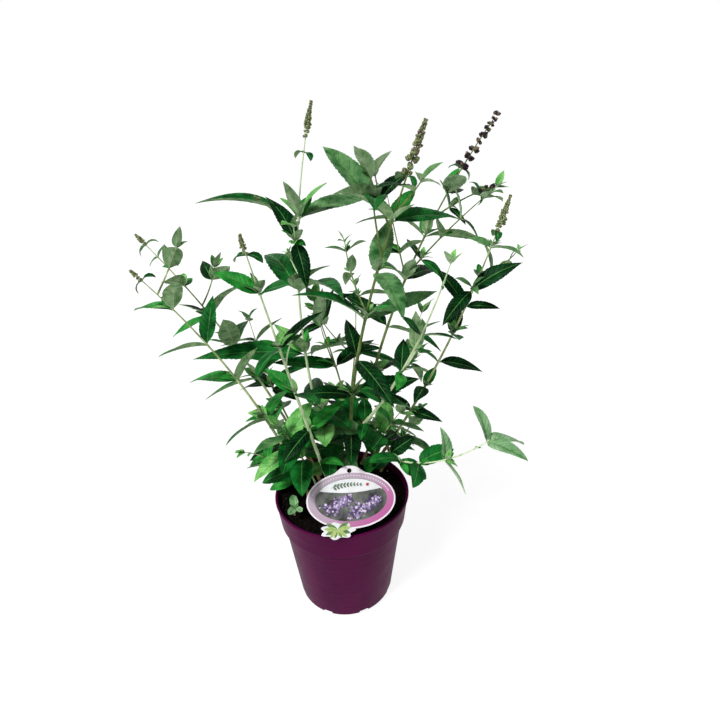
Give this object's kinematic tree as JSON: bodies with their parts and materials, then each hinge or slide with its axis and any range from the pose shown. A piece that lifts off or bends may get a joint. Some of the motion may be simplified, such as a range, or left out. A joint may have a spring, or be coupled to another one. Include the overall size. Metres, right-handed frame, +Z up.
{
  "type": "butterfly bush in a nursery pot",
  "caption": "Young butterfly bush with arching leafy shoots and slender bud spikes, growing in a round tapered nursery pot with an oval plant label.",
  "frame": {"origin": "centre of the pot's flat underside", "axes": "+Z up along the pot's axis, +X to the right and +Y to the back as the label faces the viewer"},
  "size_m": [0.4481, 0.3459, 0.599],
  "materials": {
    "pot": "satin plum purple moulded plastic",
    "compost": "moist, crumbly, near black",
    "label": "printed, laminated, soft gloss",
    "stems": "pale olive shoots, brown and woody at the foot",
    "foliage": "green leaves, felted grey-green below"
  },
  "bodies": {
    "root": {"pot": "pot", "compost": "compost", "label": "label", "stool": "stems", "bough_tall_centre": "stems", "bough_main": "stems", "bough_right_tall": "stems", "bough_left": "stems", "bough_left_low": "stems", "bough_front_left": "stems", "bough_right": "stems", "bough_front_right": "stems", "bough_low_right": "stems", "bough_short_centre": "stems", "bough_back": "stems", "bough_back_right": "stems", "bough_back_left": "stems", "bough_foot_left": "stems", "bough_foot_front_left": "stems", "bough_foot_centre": "stems", "bough_foot_right": "stems", "bough_foot_back_right": "stems", "bough_foot_back": "stems", "bough_sprig": "stems", "foliage_tall_centre": "foliage", "foliage_main": "foliage", "foliage_right_tall": "foliage", "foliage_left": "foliage", "foliage_left_low": "foliage", "foliage_front_left": "foliage", "foliage_right": "foliage", "foliage_front_right": "foliage", "foliage_low_right": "foliage", "foliage_short_centre": "foliage", "foliage_back": "foliage", "foliage_back_right": "foliage", "foliage_back_left": "foliage", "foliage_foot_left": "foliage", "foliage_foot_front_left": "foliage", "foliage_foot_centre": "foliage", "foliage_foot_right": "foliage", "foliage_foot_back_right": "foliage", "foliage_foot_back": "foliage", "foliage_sprig": "foliage"}
  },
  "joints": []
}
